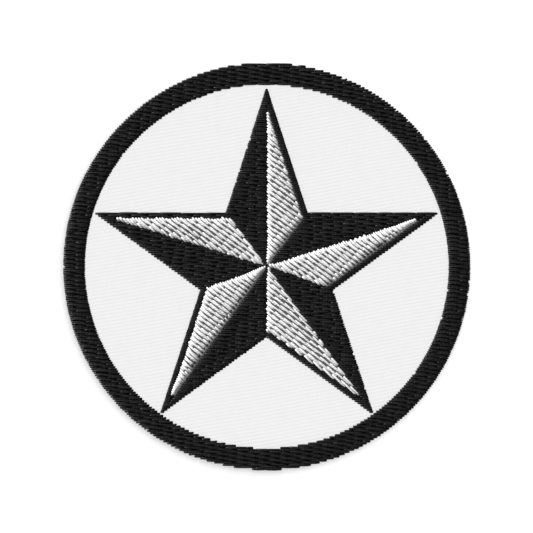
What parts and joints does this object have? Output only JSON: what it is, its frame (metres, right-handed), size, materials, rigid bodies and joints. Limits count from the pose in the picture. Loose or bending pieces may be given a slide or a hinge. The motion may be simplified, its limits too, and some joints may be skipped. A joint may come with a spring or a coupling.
{
  "type": "embroidered patch",
  "caption": "Round embroidered patch with a dark thread border and a compass star of dark and light thread on white twill, to sew or iron on by its flat back.",
  "frame": {"origin": "middle of the patch's flat back, which rests on the surface", "axes": "+Z out of the stitched face, +Y towards the top point of the star, +X to the right as seen from the front"},
  "size_m": [0.0762, 0.0762, 0.0018],
  "materials": {
    "white_twill": "matt woven twill",
    "dark_thread": "satin polyester thread",
    "light_thread": "satin polyester thread"
  },
  "bodies": {
    "root": {"base_cloth": "white_twill", "border": "dark_thread", "star_dark": "dark_thread", "facet_top": "light_thread", "facet_right": "light_thread", "facet_lower_right": "light_thread", "facet_lower_left": "light_thread", "facet_left": "light_thread"}
  },
  "joints": []
}
